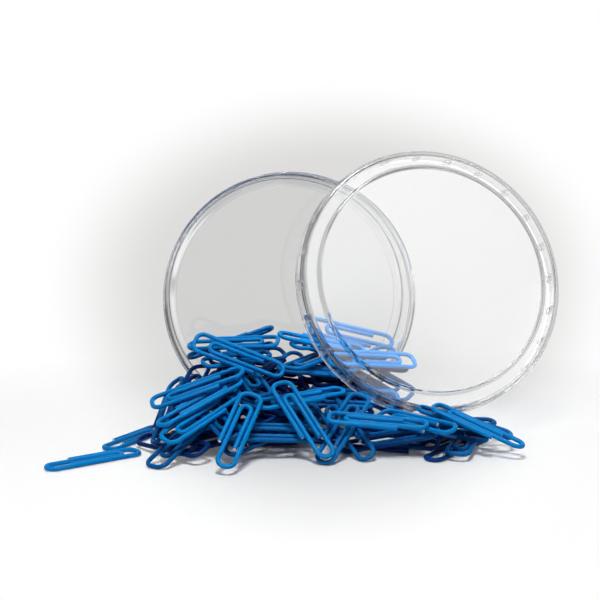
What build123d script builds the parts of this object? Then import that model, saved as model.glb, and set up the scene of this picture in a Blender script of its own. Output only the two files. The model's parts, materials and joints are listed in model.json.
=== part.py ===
from build123d import *
import math
import os

import numpy as np

# A clear round box of coated paper clips, with the lid off: the dish stands on its edge, the clips
# have spilled out of it and the lid leans on them. Millimetres, +Z up, the dish opens towards -Y.

# Walls of the clear box
WALL = 1.3
DRAFT = 1.0  # degrees of taper on every moulded wall
EDGE = 0.25  # softened moulded edges

# Base dish
RIM_RADIUS = 45.0  # outside of the collar at the rim
COLLAR_PROUD = 0.4
BASE_HEIGHT = 18.5
HEEL_RADIUS = 2.2  # outer corner between wall and foot
INNER_HEEL = 2.6  # inner corner between wall and floor
FOOT_HEIGHT = 0.9  # ring that the dish stands on when it lies flat
FOOT_WIDTH = 1.6

# Lid
LID_HEIGHT = 9.0  # rim to shoulder
LID_FIT = 0.35  # air between the dish's collar and the lid's skirt
LID_BAND_HEIGHT = 1.8  # thicker band round the lid's rim
LID_BAND_PROUD = 0.25
SHOULDER_RADIUS = 1.8
PANEL_FIT = 0.4  # air between the raised panel and the foot ring of a box stacked on it
PANEL_RISE = 0.8
NUB_COUNT = 24
NUB_LENGTH = 2.2
NUB_PROUD = 0.5  # reaches in under the dish's collar
NUB_LIFT = 0.2  # from the lid's rim to the nubs
SNAP_PLAY = 0.2  # between the nubs and the collar when the lid is on

# Paper clip, one bent coated wire
CLIP_LENGTH = 33.0
CLIP_WIDTH = 8.6
WIRE = 1.5
LOOP_GAP = 0.25  # air between two runs of wire that lie side by side
END_CORNER = 2.6  # bend at each corner of the wide end
INNER_SETBACK = 5.5  # from the wide end to the end of the inner loop
OUTER_TAIL = 9.0  # from the narrow end to the outer cut end of the wire
INNER_TAIL = 7.5  # from the narrow end to the inner cut end of the wire

# How the lid leans
LID_TURN = 6.0  # degrees that it is turned to the right
LID_LEAN = 20.5  # degrees that it leans back
LID_MIDDLE = 47.0  # to the right of the dish's axis
LID_CLEAR = 9.5  # under its rim, before it is let down on the clips
REST_GAP = 0.3  # air left where one loose piece rests on another

# The heap, seen from the dish: stations to the right for the clips' middles, with the height that they
# reach there, where the ridge runs and where the heap ends in front, both along Y
HEAP_STATIONS = (-44.0, -38.0, -32.0, -12.0, 4.0, 24.0, 36.0, 46.0, 56.0)
HEAP_HEIGHTS = (1.0, 5.0, 16.0, 21.0, 23.0, 20.0, 6.0, 4.0, 2.0)
HEAP_RIDGE = (-22.0, -14.0, 4.0, 4.0, 4.0, 2.0, -14.0, -24.0, -26.0)
HEAP_FRONT = (-32.0, -36.0, -40.0, -39.0, -32.0, -31.0, -32.0, -33.0, -31.0)
HEAP_BACK = 12.0  # how far the heap runs behind its ridge, outside the dish
HEAP_ROUNDING = 1.3  # 1 gives a straight slope, more a rounded top
HEAP_COUNT = 72
CLIPS_PER_NODE = 6
SEED = 19

# Clips that lie free on top of the heap: place on the table, turn about Z, tilt, and which way it faces
TOP_CLIPS = (
    (-16.0, -9.0, 20.0, 40.0, 0.0),
    (-46.0, -22.0, 172.0, 20.0, 0.0),
    (-21.0, -41.0, 80.0, 50.0, 10.0),
    (-15.0, -22.0, 168.0, 40.0, 0.0),
    (-4.0, -42.0, 105.0, 45.0, -10.0),
    (23.0, -42.0, 176.0, 12.0, 0.0),
    (54.0, -42.0, 165.0, 12.0, 0.0),
)
STRAY_CLIPS = (
    (-66.5, -42.0, 30.0, 0.0, 0.0),
    (-54.0, -20.0, 55.0, 0.0, 0.0),
)

# Derived sizes of the box
TAPER = math.tan(math.radians(DRAFT))
WALL_TOP = RIM_RADIUS - COLLAR_PROUD
RIM_INSIDE = WALL_TOP - WALL
HEEL = WALL_TOP - TAPER * BASE_HEIGHT
DISH_FLOOR = FOOT_HEIGHT + WALL
FOOT_INSIDE = HEEL - HEEL_RADIUS - FOOT_WIDTH
LID_INSIDE = RIM_RADIUS + LID_FIT
LID_OUTSIDE = LID_INSIDE + WALL
LID_RADIUS = LID_OUTSIDE + LID_BAND_PROUD
PANEL_RADIUS = FOOT_INSIDE - PANEL_FIT
LID_DEPTH = LID_HEIGHT + PANEL_RISE
NUB_RADIUS = (WALL + NUB_PROUD) / 2
NUB_HEIGHT = NUB_LIFT + NUB_RADIUS

# With the lid on, its top lies on the dish's rim and its nubs are just under the collar
COLLAR_LOW = BASE_HEIGHT - (LID_HEIGHT - WALL - NUB_HEIGHT - NUB_RADIUS) + SNAP_PLAY

# The dish on its edge lies on its collar and its heel, so it leans back by the angle between them
DISH_LEAN = math.degrees(math.atan2(RIM_RADIUS - HEEL, COLLAR_LOW + COLLAR_PROUD - HEEL_RADIUS))
LEAN_RISE = math.sin(math.radians(DISH_LEAN)) * (BASE_HEIGHT - COLLAR_LOW - COLLAR_PROUD)
DISH_AXIS_HEIGHT = RIM_RADIUS * math.cos(math.radians(DISH_LEAN)) + LEAN_RISE

# How near a wire's middle may come to another piece
REACH = WIRE / 2 + REST_GAP

# How the heap is worked out: spacing of points and of the height map, and how freely clips settle
STEP = 0.6
CELL = 0.35
GRID_X = (-100.0, 110.0)
GRID_Y = (-75.0, 25.0)
CHOICES = 60  # clips held out before one is let go
STEEPEST = 65.0  # degrees from level
FACING = 50.0  # degrees, the usual turn of a tilted clip away from the dish's open side
TIP = 12.0  # degrees, the usual first tip
SEARCH = 0.05  # how fast the search for a free place widens
SLIP = 4.0  # how far a clip may slide from where it is let down
TRIES = 120
LAST_TRY = 0.02  # size of the last try beside the first
LEAST_DROP = 0.001


def rounded(face, corners):
    """Round some corners of a profile: a list of (point, radius)."""
    for point, radius in corners:
        corner = face.vertices().sort_by_distance(point)[0]
        face = fillet(corner, radius)
    return face


def dish_profile():
    """Half section of the base dish: radius along X, height above its foot along Y."""
    floor_inside = HEEL - WALL + TAPER * DISH_FLOOR
    points = [
        (0, FOOT_HEIGHT),
        (FOOT_INSIDE, FOOT_HEIGHT),
        (FOOT_INSIDE, 0),
        (HEEL, 0),
        (WALL_TOP - TAPER * (BASE_HEIGHT - COLLAR_LOW), COLLAR_LOW),
        (RIM_RADIUS, COLLAR_LOW + COLLAR_PROUD),
        (RIM_RADIUS, BASE_HEIGHT),
        (RIM_INSIDE, BASE_HEIGHT),
        (floor_inside, DISH_FLOOR),
        (0, DISH_FLOOR),
    ]
    corners = [((HEEL, 0), HEEL_RADIUS), ((floor_inside, DISH_FLOOR), INNER_HEEL)]
    corners += [((RIM_RADIUS, BASE_HEIGHT), EDGE), ((RIM_INSIDE, BASE_HEIGHT), EDGE)]
    return rounded(make_face(Polyline(*points, close=True)), corners)


def lid_profile():
    """Half section of the lid: radius along X, height above its open rim along Y."""
    shoulder = LID_OUTSIDE - TAPER * LID_HEIGHT
    inner_shoulder = shoulder - WALL
    ceiling = LID_HEIGHT - WALL
    panel_inside = PANEL_RADIUS - WALL / 2
    band_top = LID_BAND_HEIGHT + LID_BAND_PROUD
    points = [
        (LID_INSIDE, 0),
        (LID_RADIUS, 0),
        (LID_RADIUS, LID_BAND_HEIGHT),
        (LID_OUTSIDE - TAPER * band_top, band_top),
        (shoulder, LID_HEIGHT),
        (PANEL_RADIUS + PANEL_RISE, LID_HEIGHT),
        (PANEL_RADIUS, LID_DEPTH),
        (0, LID_DEPTH),
        (0, LID_DEPTH - WALL),
        (panel_inside, LID_DEPTH - WALL),
        (panel_inside + PANEL_RISE, ceiling),
        (inner_shoulder, ceiling),
    ]
    corners = [((shoulder, LID_HEIGHT), SHOULDER_RADIUS), ((inner_shoulder, ceiling), SHOULDER_RADIUS / 2)]
    corners += [((PANEL_RADIUS, LID_DEPTH), EDGE), ((LID_RADIUS, 0), EDGE)]
    return rounded(make_face(Polyline(*points, close=True)), corners)


def turned(profile):
    """Solid of revolution of a half section, standing on Z."""
    return revolve(Plane.XZ * profile, Axis.Z)


def base_dish():
    return turned(dish_profile())


def lid():
    """Lid with a ring of snap nubs inside its skirt."""
    nub = Rot(X=90) * Cylinder(NUB_RADIUS, NUB_LENGTH)
    ring = PolarLocations(LID_INSIDE + NUB_RADIUS - NUB_PROUD, NUB_COUNT)
    nubs = [Pos(Z=NUB_HEIGHT) * place * nub for place in ring]
    return turned(lid_profile()) + nubs


def clip_path():
    """Centreline of a clip, flat in XY and long in X, from its outer cut end to its inner one."""
    outer = (CLIP_WIDTH - WIRE) / 2
    pitch = WIRE + LOOP_GAP
    inner = outer - pitch
    turn = outer - pitch / 2
    wide = (CLIP_LENGTH - WIRE) / 2
    straight = outer - END_CORNER
    nested = wide - INNER_SETBACK - inner
    bend = END_CORNER * math.sqrt(0.5)
    knee = wide - END_CORNER
    heel = turn - wide
    return Wire([
        Line((OUTER_TAIL - wide, outer), (knee, outer)),
        ThreePointArc((knee, outer), (knee + bend, straight + bend), (wide, straight)),
        Line((wide, straight), (wide, -straight)),
        ThreePointArc((wide, -straight), (knee + bend, -straight - bend), (knee, -outer)),
        Line((knee, -outer), (heel, -outer)),
        ThreePointArc((heel, -outer), (-wide, -pitch / 2), (heel, inner)),
        Line((heel, inner), (nested, inner)),
        ThreePointArc((nested, inner), (nested + inner, 0), (nested, -inner)),
        Line((nested, -inner), (INNER_TAIL - wide, -inner)),
    ])


def clip_solid(path):
    """Round wire swept along the centreline."""
    start = Plane(origin=path @ 0, z_dir=path % 0)
    return sweep(start * Circle(WIRE / 2), path=path)


def turn_about(axis, degrees):
    """Rotation matrix about a unit axis."""
    x, y, z = axis
    cross = np.array([[0, -z, y], [z, 0, -x], [-y, x, 0]])
    angle = math.radians(degrees)
    return np.eye(3) + math.sin(angle) * cross + (1 - math.cos(angle)) * cross @ cross


def turn_and_tilt(turn, tilt, facing):
    """Rotation of a flat clip: turned about Z, then tilted to face -Y, give or take the facing angle."""
    level = math.radians(facing)
    return turn_about((math.cos(level), math.sin(level), 0), tilt) @ turn_about((0, 0, 1), turn)


def location(rotation, middle):
    """Place of a piece, from a rotation matrix and the point that its origin goes to."""
    x_dir = tuple(float(v) for v in rotation[:, 0])
    z_dir = tuple(float(v) for v in rotation[:, 2])
    return Plane(origin=tuple(float(v) for v in middle), x_dir=x_dir, z_dir=z_dir).location


def ring(radius, height, pose):
    """Points round the axis of a piece, at a height above its origin, where the piece is placed."""
    rotation, middle = pose
    angles = np.linspace(0, 2 * math.pi, int(2 * math.pi * radius / STEP) + 2)
    own = np.stack([radius * np.cos(angles), radius * np.sin(angles), np.full_like(angles, height)], 1)
    return own @ rotation.T + middle


def dish_pose():
    """Rotation and middle of the dish on its edge, with its rim over the X axis."""
    rotation = turn_about((1, 0, 0), 90 - DISH_LEAN)
    rim_middle = np.array([0, 0, DISH_AXIS_HEIGHT])
    return rotation, rim_middle - BASE_HEIGHT * rotation[:, 2]


def dish_rests():
    """Points that clips rest on: the dish's rim, and its inner edge drawn straight back to the floor.

    Clips that stay inside that edge leave the dish free to be pulled straight off them.
    """
    rims = [ring(radius, BASE_HEIGHT, dish_pose()) for radius in np.arange(RIM_INSIDE, RIM_RADIUS, STEP)]
    backs = [rims[0] + (0, depth, 0) for depth in np.arange(0, BASE_HEIGHT, STEP)]
    points = np.concatenate(rims + backs)
    return points[points[:, 2] < DISH_AXIS_HEIGHT]


def lid_rotation():
    """The lid's own axes: Z out of its closed face, Y up along its face."""
    lean = math.radians(LID_LEAN)
    turn = math.radians(LID_TURN)
    out = np.array([math.sin(turn) * math.cos(lean), -math.cos(turn) * math.cos(lean), math.sin(lean)])
    side = np.array([math.cos(turn), math.sin(turn), 0])
    return np.stack([side, np.cross(out, side), out], 1)


def lid_start():
    """Middle of the lid's rim, high up, with the rim's plane a rest gap in front of the dish's rim."""
    out = lid_rotation()[:, 2]
    plane = (ring(RIM_RADIUS, BASE_HEIGHT, dish_pose()) @ out).max() + REST_GAP
    height = LID_CLEAR + LID_RADIUS * math.cos(math.radians(LID_LEAN))
    depth = (plane - out[0] * LID_MIDDLE - out[2] * height) / out[1]
    return np.array([LID_MIDDLE, depth, height])


class Heap:
    """Clips let down one after another, each to where tipping it any way would lift it.

    A height map holds how low a wire's middle may come over each cell of the table, so a clip never
    reaches under one that was there before it, and the last ones can be lifted straight up.
    """

    def __init__(self, outline, seed):
        self.outline = outline
        self.random = np.random.default_rng(seed)
        columns, rows = (np.arange(low, high, CELL) for low, high in (GRID_X, GRID_Y))
        self.cell_x, self.cell_y = np.meshgrid(columns, rows, indexing="ij")
        self.low = np.full(self.cell_x.shape, WIRE / 2)
        self.lid = None
        self.clips = []

    def cells(self, points):
        """Grid cell of each point, kept on the grid."""
        column = np.rint((points[:, 0] - GRID_X[0]) / CELL).astype(int)
        row = np.rint((points[:, 1] - GRID_Y[0]) / CELL).astype(int)
        return column.clip(0, self.low.shape[0] - 1), row.clip(0, self.low.shape[1] - 1)

    def cover(self, points, reach):
        """Raise the map so that a wire's middle stays this far from the points."""
        reach += CELL / 2
        span = np.arange(-int(reach / CELL) - 1, int(reach / CELL) + 2)
        over, along = (grid.ravel() for grid in np.meshgrid(span, span))
        column, row = self.cells(points)
        column = (column[:, None] + over).clip(0, self.low.shape[0] - 1)
        row = (row[:, None] + along).clip(0, self.low.shape[1] - 1)
        away_x = self.cell_x[column, row] - points[:, :1]
        away_y = self.cell_y[column, row] - points[:, 1:2]
        room = reach ** 2 - away_x ** 2 - away_y ** 2
        top = points[:, 2:] + np.sqrt(room.clip(0))
        near = room > 0
        np.maximum.at(self.low, (column[near], row[near]), top[near])

    def meets_lid(self, points):
        """Whether a wire along these points would touch the lid or be inside it."""
        rotation, middle = self.lid
        own = (points - middle) @ rotation
        within = np.hypot(own[:, 0], own[:, 1]) < LID_RADIUS + REACH
        return bool(np.any(within & (own[:, 2] > -REACH) & (own[:, 2] < LID_DEPTH + REACH)))

    def rest(self, rotation, place):
        """Height of a clip's middle when it is let straight down, and its points there."""
        points = self.outline @ rotation.T
        points[:, :2] += place
        height = (self.low[self.cells(points)] - points[:, 2]).max()
        if height < math.inf:
            points[:, 2] += height
            if self.meets_lid(points):
                height = math.inf
        return height, points

    def add(self, rotation, place):
        """Let one clip down and tip and shift it in ever smaller tries, keeping each that lowers it."""
        start = np.array(place)
        place = start
        height, points = self.rest(rotation, place)
        for size in np.geomspace(1, LAST_TRY, TRIES):
            axis = self.random.normal(size=3)
            axis /= np.linalg.norm(axis)
            new_rotation = turn_about(axis, self.random.normal() * TIP * size) @ rotation
            new_place = place + self.random.normal(size=2) * SLIP / 2 * size
            if np.linalg.norm(new_place - start) > SLIP:
                continue
            new_height, new_points = self.rest(new_rotation, new_place)
            if new_height < height - LEAST_DROP:
                rotation, place, height, points = new_rotation, new_place, new_height, new_points
        self.cover(points, WIRE + REST_GAP / 2)
        self.clips.append((rotation, np.array([*place, height]), points))

    def keep_clear(self, columns):
        """Let no later clip lie over these cells of the table."""
        self.low[columns] = math.inf


def dish_plan(heap):
    """Cells behind the dish's rim that are outside its wall or past the foot of its floor."""
    rotation, middle = dish_pose()
    floor = middle + DISH_FLOOR * rotation[:, 2]
    floor_foot = floor[1] - floor[2] * math.tan(math.radians(DISH_LEAN))
    behind_rim = heap.cell_y > -REACH
    past_wall = np.abs(heap.cell_x) > HEEL - WALL - REACH
    return behind_rim & (past_wall | (heap.cell_y > floor_foot - INNER_HEEL))


def heap_target(x, y):
    """Height that the heap is meant to have at a place on the table."""
    ridge_height = np.interp(x, HEAP_STATIONS, HEAP_HEIGHTS)
    ridge = np.interp(x, HEAP_STATIONS, HEAP_RIDGE)
    front = np.interp(x, HEAP_STATIONS, HEAP_FRONT)
    slope = (ridge - y) / (ridge - front)
    behind = 0 if abs(x) < RIM_INSIDE else (y - ridge) / HEAP_BACK
    return ridge_height * (1 - min(max(slope, behind, 0), 1) ** HEAP_ROUNDING)


def next_start(heap):
    """Of some clips held out at random, the one that would rest lowest under the heap's meant height."""
    best = (-math.inf, None, None)
    for _ in range(CHOICES):
        x = heap.random.uniform(HEAP_STATIONS[0], HEAP_STATIONS[-1])
        y = heap.random.uniform(min(HEAP_FRONT), BASE_HEIGHT)
        turn = heap.random.uniform(0, 360)
        facing = heap.random.normal() * FACING
        rotation = turn_and_tilt(turn, heap.random.uniform(0, STEEPEST), facing)
        room = heap_target(x, y) - heap.rest(rotation, (x, y))[0]
        if room > best[0]:
            best = (room, rotation, (x, y))
    return best[1:]


def free_start(heap, x, y, turn, tilt, facing):
    """A clip held out at a chosen place, or as near to it as nothing is in its way."""
    rotation = turn_and_tilt(turn, tilt, facing)
    place = np.array([x, y])
    spread = 0.0
    while heap.rest(rotation, place)[0] == math.inf:
        spread += SEARCH
        place = np.array([x, y]) + heap.random.normal(size=2) * spread
    return rotation, place


def let_down_lid(heap):
    """Slide the lid down along its own face until its skirt rests on a clip."""
    rotation, middle = heap.lid
    own = (np.concatenate([points for _, _, points in heap.clips]) - middle) @ rotation
    radius = LID_RADIUS + REACH
    level = (own[:, 2] > -REACH) & (own[:, 2] < LID_DEPTH + REACH)
    under = own[level & (own[:, 1] < 0) & (np.abs(own[:, 0]) < radius)]
    room = -under[:, 1] - np.sqrt(radius ** 2 - under[:, 0] ** 2)
    heap.lid = (rotation, middle - room.min() * rotation[:, 1])


def lid_plan(heap):
    """Cells under the leaning lid."""
    under = np.zeros(heap.low.shape, bool)
    for height in np.arange(0, LID_DEPTH, STEP):
        for radius in np.arange(0, LID_RADIUS + REACH, STEP):
            under[heap.cells(ring(radius, height, heap.lid))] = True
    return under


def clip_plan(heap, clip):
    """Cells under a clip and under the openings of its loops."""
    rotation, middle, _ = clip
    long_side = np.arange(-CLIP_LENGTH / 2 - WIRE, CLIP_LENGTH / 2 + WIRE, CELL / 2)
    short_side = np.arange(-CLIP_WIDTH / 2 - WIRE, CLIP_WIDTH / 2 + WIRE, CELL / 2)
    x, y = (grid.ravel() for grid in np.meshgrid(long_side, short_side))
    return heap.cells(np.stack([x, y, 0 * x], 1) @ rotation.T + middle)


def add_free(heap, places):
    """Clips that lie free, each with the room over it kept clear."""
    for wanted in places:
        heap.add(*free_start(heap, *wanted))
        heap.keep_clear(clip_plan(heap, heap.clips[-1]))


def make_heap(outline):
    """The whole arrangement: the places of the stray clips, the heap's, the top ones and the lid."""
    heap = Heap(outline, SEED)
    heap.cover(dish_rests(), REACH)
    heap.keep_clear(dish_plan(heap))
    heap.lid = (lid_rotation(), lid_start())
    add_free(heap, STRAY_CLIPS)
    for _ in range(HEAP_COUNT):
        heap.add(*next_start(heap))
    let_down_lid(heap)
    heap.keep_clear(lid_plan(heap))
    heap.keep_clear(heap.cell_y > -WIRE)
    add_free(heap, TOP_CLIPS)
    return heap


def main():
    os.makedirs("parts", exist_ok=True)
    path = clip_path()
    outline = np.array([tuple(path @ t) for t in np.linspace(0, 1, int(path.length / STEP))])
    balance = outline.mean(axis=0)
    heap = make_heap(outline - balance)
    wire = Pos(*-balance) * clip_solid(path)
    clips = [location(rotation, middle) * wire for rotation, middle, _ in heap.clips]
    strays = clips[:len(STRAY_CLIPS)]
    buried = clips[len(strays):len(strays) + HEAP_COUNT]
    tops = clips[-len(TOP_CLIPS):]
    nodes = {"base_dish": location(*dish_pose()) * base_dish(), "lid": location(*heap.lid) * lid()}
    for number, start in enumerate(range(0, HEAP_COUNT, CLIPS_PER_NODE), 1):
        nodes[f"heap_clips_{number:02d}"] = Compound(buried[start:start + CLIPS_PER_NODE])
    for number, clip in enumerate(tops, 1):
        nodes[f"top_clip_{number:02d}"] = clip
    for number, clip in enumerate(strays, 1):
        nodes[f"stray_clip_{number:02d}"] = clip
    whole = Compound(list(nodes.values())).bounding_box()
    to_middle = Pos(-whole.center().X, -whole.center().Y, -whole.min.Z)
    for name, shape in nodes.items():
        export_step(to_middle * shape, f"parts/{name}.step")


main()
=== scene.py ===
# %% [markdown]
# # A clear round box of blue paper clips, with its lid off
# The box is two pieces of clear moulded plastic. The dish stands on its edge, the lid leans on the
# heap, and the heap is bent wire in a blue coat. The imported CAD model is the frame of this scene: it
# says where every piece is, and this file makes each piece again, smoother and with its finish.

# %% Load the frame
import json
import math

import bpy
import numpy as np
from mathutils import Matrix, Vector


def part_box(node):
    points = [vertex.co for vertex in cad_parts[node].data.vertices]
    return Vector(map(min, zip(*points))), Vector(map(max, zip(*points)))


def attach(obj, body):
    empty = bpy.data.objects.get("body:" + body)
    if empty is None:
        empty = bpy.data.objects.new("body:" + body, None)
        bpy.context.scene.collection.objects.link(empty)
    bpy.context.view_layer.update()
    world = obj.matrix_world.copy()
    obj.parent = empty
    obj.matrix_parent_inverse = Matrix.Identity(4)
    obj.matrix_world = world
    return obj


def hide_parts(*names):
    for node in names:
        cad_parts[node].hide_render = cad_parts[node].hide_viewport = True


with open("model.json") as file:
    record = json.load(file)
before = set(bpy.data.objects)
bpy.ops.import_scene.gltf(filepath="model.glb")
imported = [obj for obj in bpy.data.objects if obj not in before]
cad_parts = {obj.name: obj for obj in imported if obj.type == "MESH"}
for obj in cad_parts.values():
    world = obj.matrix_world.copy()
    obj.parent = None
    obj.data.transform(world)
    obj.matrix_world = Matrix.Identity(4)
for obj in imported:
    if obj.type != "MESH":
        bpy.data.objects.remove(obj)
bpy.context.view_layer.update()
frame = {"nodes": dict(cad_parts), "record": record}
MM = 0.001
bpy.context.scene.view_settings.view_transform = "Standard"


# %% [markdown]
# ## Node trees without a mouse
# Every finish and every repeated shape below is a node tree. Three small helpers keep the trees short:
# one adds a node and fills its inputs, with plain values or with the outputs of other nodes, one does
# the same for a Math node, and one opens an empty material.

# %% Helpers for node trees
def put(tree, kind, inputs=None, **settings):
    """Add a node; inputs are plain values or output sockets, keyed by name or by number."""
    node = tree.nodes.new(kind)
    for key, value in settings.items():
        setattr(node, key, value)
    for key, value in (inputs or {}).items():
        if isinstance(value, bpy.types.NodeSocket):
            tree.links.new(value, node.inputs[key])
        else:
            node.inputs[key].default_value = value
    return node


def math_node(tree, operation, *values):
    """Output of a Math node on one, two or three values."""
    return put(tree, "ShaderNodeMath", dict(enumerate(values)), operation=operation).outputs[0]


def new_finish(name):
    """An empty material and its node tree."""
    finish = bpy.data.materials.new(name)
    finish.use_nodes = True
    finish.node_tree.nodes.clear()
    return finish, finish.node_tree


print("helpers ready")


# %% [markdown]
# ## Clear moulded plastic
# Boxes like this are moulded from clear polystyrene. It bends light more than window glass does, its
# faces are polished by the mould, and a little handling leaves hairlines and a breath of haze. A glass
# shader on a wall with two real faces does the bending. Lamps would not reach through such glass, so
# the shader turns plainly see-through for shadow rays only.

# %% Clear plastic
STYRENE_BEND = 1.56  # index of refraction
STYRENE_TINT = (0.90, 0.905, 0.91, 1)
SHADOW_TINT = (0.93, 0.94, 0.95, 1)  # what is left of lamp light behind a wall
WORN_SCALE = 55.0
HAZE_FROM = (0.3, 0.75)  # wear of a clean and of a handled face
HAZE = (0.012, 0.03)  # roughness of each
HAIRLINES = (  # turn, scale across and along, width
    ((0.3, 0.5, 0.2), 900.0, 14.0, 0.012),
    ((0.2, -0.6, 1.1), 700.0, 11.0, 0.010))
SCRATCHED_FROM = (0.52, 0.68)  # wear at which hairlines start and are complete
SCRATCH_ROUGHNESS = 0.12
SCRATCH_DEPTH = 0.05
FLOW_SCALE = 38.0  # slow waves of the moulded faces
FLOW_HEIGHT = 0.0012
FLOW_STRENGTH = 0.05


def hairlines(tree, place, turn, across, along, width):
    """Fine scratches that run one way: a noise stretched along its length, cut to thin lines."""
    stretched = put(tree, "ShaderNodeMapping", {
        "Vector": place, "Rotation": turn, "Scale": (across, along, across)})
    noise = put(tree, "ShaderNodeTexNoise", {"Vector": stretched.outputs[0], "Scale": 1.0, "Detail": 1.0})
    away = math_node(tree, "ABSOLUTE", math_node(tree, "SUBTRACT", noise.outputs[0], 0.5))
    line = put(tree, "ShaderNodeMapRange", {
        "Value": away, "From Min": 0.0, "From Max": width, "To Min": 1.0, "To Max": 0.0})
    return line.outputs[0]


def clear_plastic():
    finish, tree = new_finish("clear_styrene")
    place = put(tree, "ShaderNodeTexCoord").outputs["Object"]
    worn = put(tree, "ShaderNodeTexNoise", {"Vector": place, "Scale": WORN_SCALE, "Detail": 3.0}).outputs[0]
    first, second = [hairlines(tree, place, *each) for each in HAIRLINES]
    lines = math_node(tree, "MAXIMUM", first, second)
    kept = put(tree, "ShaderNodeMapRange", {
        "Value": worn, "From Min": SCRATCHED_FROM[0], "From Max": SCRATCHED_FROM[1]})
    scratched = math_node(tree, "MULTIPLY", lines, kept.outputs[0])
    haze = put(tree, "ShaderNodeMapRange", {
        "Value": worn, "From Min": HAZE_FROM[0], "From Max": HAZE_FROM[1],
        "To Min": HAZE[0], "To Max": HAZE[1]})
    rough = math_node(tree, "MULTIPLY_ADD", scratched, SCRATCH_ROUGHNESS, haze.outputs[0])
    flow = put(tree, "ShaderNodeTexNoise", {"Vector": place, "Scale": FLOW_SCALE, "Detail": 1.0}).outputs[0]
    relief = math_node(tree, "MULTIPLY_ADD", scratched, -SCRATCH_DEPTH, flow)
    bump = put(tree, "ShaderNodeBump", {
        "Height": relief, "Strength": FLOW_STRENGTH, "Distance": FLOW_HEIGHT})
    glass = put(tree, "ShaderNodeBsdfPrincipled", {
        "Base Color": STYRENE_TINT, "Roughness": rough, "IOR": STYRENE_BEND,
        "Transmission Weight": 1.0, "Normal": bump.outputs[0]})
    passed = put(tree, "ShaderNodeBsdfTransparent", {"Color": SHADOW_TINT})
    path = put(tree, "ShaderNodeLightPath")
    mix = put(tree, "ShaderNodeMixShader", {
        0: path.outputs["Is Shadow Ray"], 1: glass.outputs[0], 2: passed.outputs[0]})
    put(tree, "ShaderNodeOutputMaterial", {"Surface": mix.outputs[0]})
    return finish


CLEAR = clear_plastic()
print("finish", CLEAR.name)


# %% [markdown]
# ## Blue coat and cut steel
# The clips are steel wire drawn through a soft blue coat before they are bent. The coat is a little
# uneven: some clips are a tone lighter at random, the surface has a fine orange peel, and rubbing dulls it in
# patches. Each clip carries a stored value made of that random tone and of painted shade: clips and wire
# that lie deep in the heap get a darker coat colour. The wire is cut after coating,
# so both ends show a small disc of bare steel.

# %% Coat and steel
# painted shade: the coat colour that clips and wire deep in the heap are darkened towards
COAT_PAINTED_SHADE = (0.0, 0.010, 0.12, 1)
COAT_LIGHT = (0.0, 0.26, 0.70, 1)
COAT_ROUGHNESS = (0.34, 0.5)  # where it is smooth and where it is rubbed
COAT_SPECULAR = 0.09
RUBBED_SCALE = 160.0
RUBBED_FROM = (0.3, 0.7)
RUBBED_GAIN = 0.3  # how much lighter a rubbed patch is
PLAIN_GAIN = 0.95
PEEL_SCALE = 2600.0
PEEL_STRENGTH = 0.12
PEEL_HEIGHT = 0.00008
STEEL_GREY = (0.56, 0.57, 0.58, 1)
STEEL_ROUGHNESS = (0.25, 0.5)
SHEAR_SCALE = (9000.0, 1500.0, 1500.0)  # marks of the cut, finer one way
SHEAR_STRENGTH = 0.3
SHEAR_HEIGHT = 0.00005


def blue_coat():
    finish, tree = new_finish("blue_coat")
    place = put(tree, "ShaderNodeTexCoord").outputs["Object"]
    shade = put(tree, "ShaderNodeAttribute", attribute_name="shade").outputs["Fac"]
    rubbed = put(tree, "ShaderNodeTexNoise", {
        "Vector": place, "Scale": RUBBED_SCALE, "Detail": 3.0}).outputs[0]
    gain = math_node(tree, "MULTIPLY_ADD", rubbed, RUBBED_GAIN, PLAIN_GAIN)
    # painted shade: the stored value darkens the coat towards its shaded colour where clips lie under others
    lightness = math_node(tree, "MULTIPLY", shade, gain)
    colour = put(tree, "ShaderNodeMix", {0: lightness, 6: COAT_PAINTED_SHADE, 7: COAT_LIGHT}, data_type="RGBA")
    rough = put(tree, "ShaderNodeMapRange", {
        "Value": rubbed, "From Min": RUBBED_FROM[0], "From Max": RUBBED_FROM[1],
        "To Min": COAT_ROUGHNESS[0], "To Max": COAT_ROUGHNESS[1]})
    peel = put(tree, "ShaderNodeTexNoise", {"Vector": place, "Scale": PEEL_SCALE, "Detail": 1.0}).outputs[0]
    bump = put(tree, "ShaderNodeBump", {"Height": peel, "Strength": PEEL_STRENGTH, "Distance": PEEL_HEIGHT})
    coat = put(tree, "ShaderNodeBsdfPrincipled", {
        "Base Color": colour.outputs[2], "Roughness": rough.outputs[0], "IOR": 1.5,
        "Specular IOR Level": COAT_SPECULAR, "Normal": bump.outputs[0]})
    put(tree, "ShaderNodeOutputMaterial", {"Surface": coat.outputs[0]})
    return finish


def cut_steel():
    finish, tree = new_finish("cut_steel")
    place = put(tree, "ShaderNodeTexCoord").outputs["Object"]
    shear = put(tree, "ShaderNodeMapping", {"Vector": place, "Scale": SHEAR_SCALE})
    marks = put(tree, "ShaderNodeTexNoise", {
        "Vector": shear.outputs[0], "Scale": 1.0, "Detail": 2.0}).outputs[0]
    rough = put(tree, "ShaderNodeMapRange", {
        "Value": marks, "To Min": STEEL_ROUGHNESS[0], "To Max": STEEL_ROUGHNESS[1]})
    bump = put(tree, "ShaderNodeBump", {
        "Height": marks, "Strength": SHEAR_STRENGTH, "Distance": SHEAR_HEIGHT})
    steel = put(tree, "ShaderNodeBsdfPrincipled", {
        "Base Color": STEEL_GREY, "Metallic": 1.0, "Roughness": rough.outputs[0],
        "Normal": bump.outputs[0]})
    put(tree, "ShaderNodeOutputMaterial", {"Surface": steel.outputs[0]})
    return finish


COAT = blue_coat()
STEEL = cut_steel()
print("finishes", COAT.name, STEEL.name)


# %% [markdown]
# ## Trees that make shapes
# A Geometry Nodes tree is a small machine: named inputs go in, a mesh comes out. The helpers below
# open a tree with its inputs, and run it once on a carrier object, which turns the result into a plain
# mesh. A modifier's inputs are set by the identifier of each socket, since two may share a name.

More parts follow.
